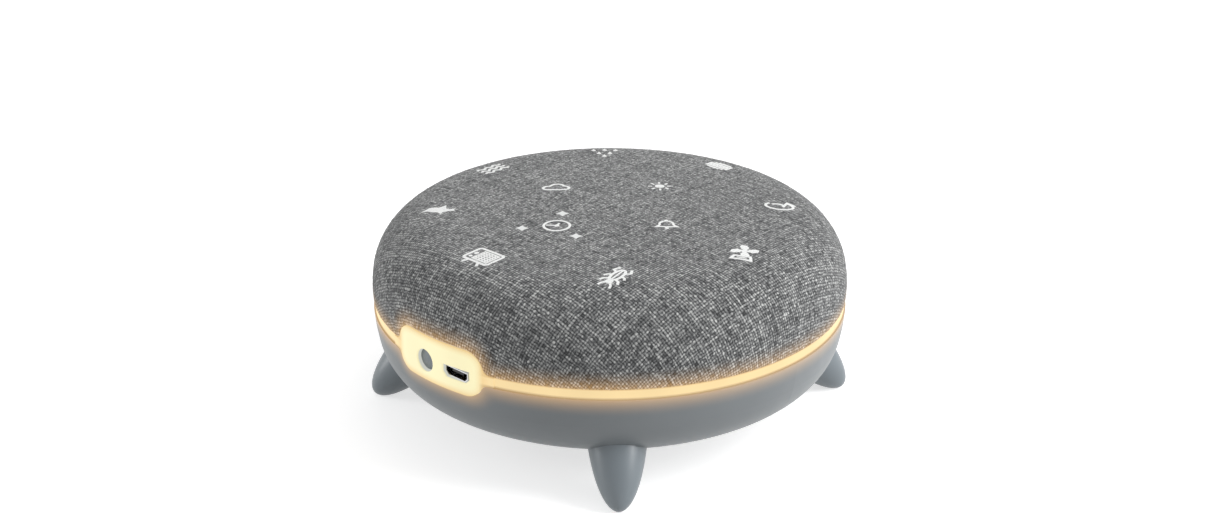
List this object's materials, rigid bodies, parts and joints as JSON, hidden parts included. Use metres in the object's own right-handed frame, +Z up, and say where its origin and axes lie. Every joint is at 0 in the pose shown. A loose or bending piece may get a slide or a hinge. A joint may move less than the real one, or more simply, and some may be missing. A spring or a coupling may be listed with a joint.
{
  "type": "white noise sound machine",
  "caption": "Round bedside sound machine with a cloth-covered dome, a glowing light ring with a port panel, a plastic bowl and splayed feet.",
  "frame": {"origin": "centre of the bounding box in plan, on the table that the feet stand on", "axes": "+Z up; the port panel with the button and the socket faces -Y; +X is to the right seen from that side"},
  "size_m": [0.12, 0.1199, 0.0521],
  "materials": {
    "grey_cloth": "woven",
    "shell_plastic": "satin",
    "inner_plastic": "moulded",
    "lit_plastic": "translucent, lit from behind",
    "black_plastic": "moulded",
    "white_plastic": "moulded",
    "board": "solder mask",
    "steel": "zinc plated",
    "bright_metal": "nickel plated",
    "gold_contact": "gold plated",
    "copper": "enamelled copper",
    "can_aluminium": "drawn can",
    "ferrite": "sintered",
    "paper": "pressed paper",
    "rubber": "soft",
    "foam": "closed-cell foam",
    "varnished_cloth": "varnished weave",
    "red_sleeve": "smooth",
    "black_sleeve": "smooth",
    "ribbon_film": "film with printed tracks"
  },
  "bodies": {
    "housing": {"fabric_cover": "grey_cloth", "top_shell": "inner_plastic", "light_ring": "lit_plastic", "bottom_shell": "shell_plastic", "foot_front_right": "shell_plastic", "foot_rear_right": "shell_plastic", "foot_rear_left": "shell_plastic", "foot_front_left": "shell_plastic", "switch_body": "black_plastic", "switch_cover": "bright_metal", "switch_dome": "bright_metal", "usb_shell": "bright_metal", "usb_tongue": "black_plastic", "usb_contacts": "gold_contact", "main_board": "board", "side_leds": "white_plastic", "controller_chip": "black_plastic", "memory_chip": "black_plastic", "amplifier_chip": "black_plastic", "power_inductor": "ferrite", "capacitors": "can_aluminium", "touch_board": "board", "touch_electrodes": "copper", "touch_chip": "black_plastic", "timer_leds": "white_plastic", "touch_ribbon": "ribbon_film", "ribbon_socket_upper": "white_plastic", "ribbon_socket_lower": "white_plastic", "speaker_basket": "steel", "speaker_top_plate": "steel", "speaker_magnet": "ferrite", "speaker_yoke": "steel", "speaker_spider": "varnished_cloth", "speaker_surround": "rubber", "speaker_gasket": "foam", "speaker_terminal": "board", "solder_lugs": "bright_metal", "speaker_lead_red": "red_sleeve", "speaker_lead_black": "black_sleeve", "speaker_plug": "white_plastic", "speaker_socket": "white_plastic", "body_screws": "steel", "board_screws": "steel", "speaker_screws": "steel", "foot_screws": "steel"},
    "power_button": {"power_button": "shell_plastic", "switch_plunger": "black_plastic"},
    "speaker_cone": {"speaker_cone": "paper", "speaker_dust_cap": "paper", "coil_former": "ribbon_film", "coil_winding": "copper"}
  },
  "joints": [
    {"name": "power_button_press", "type": "slide", "parent": "housing", "child": "power_button", "axis": [0, 1, 0], "range_m": [0, 0.0005], "stiffness_N_per_m": 800, "springref_m": -0.0005, "deforming": ["switch_dome"]},
    {"name": "speaker_cone_travel", "type": "slide", "parent": "housing", "child": "speaker_cone", "axis": [0, 0, 1], "range_m": [-0.0015, 0.0015], "stiffness_N_per_m": 800, "deforming": ["speaker_surround", "speaker_spider"]}
  ]
}
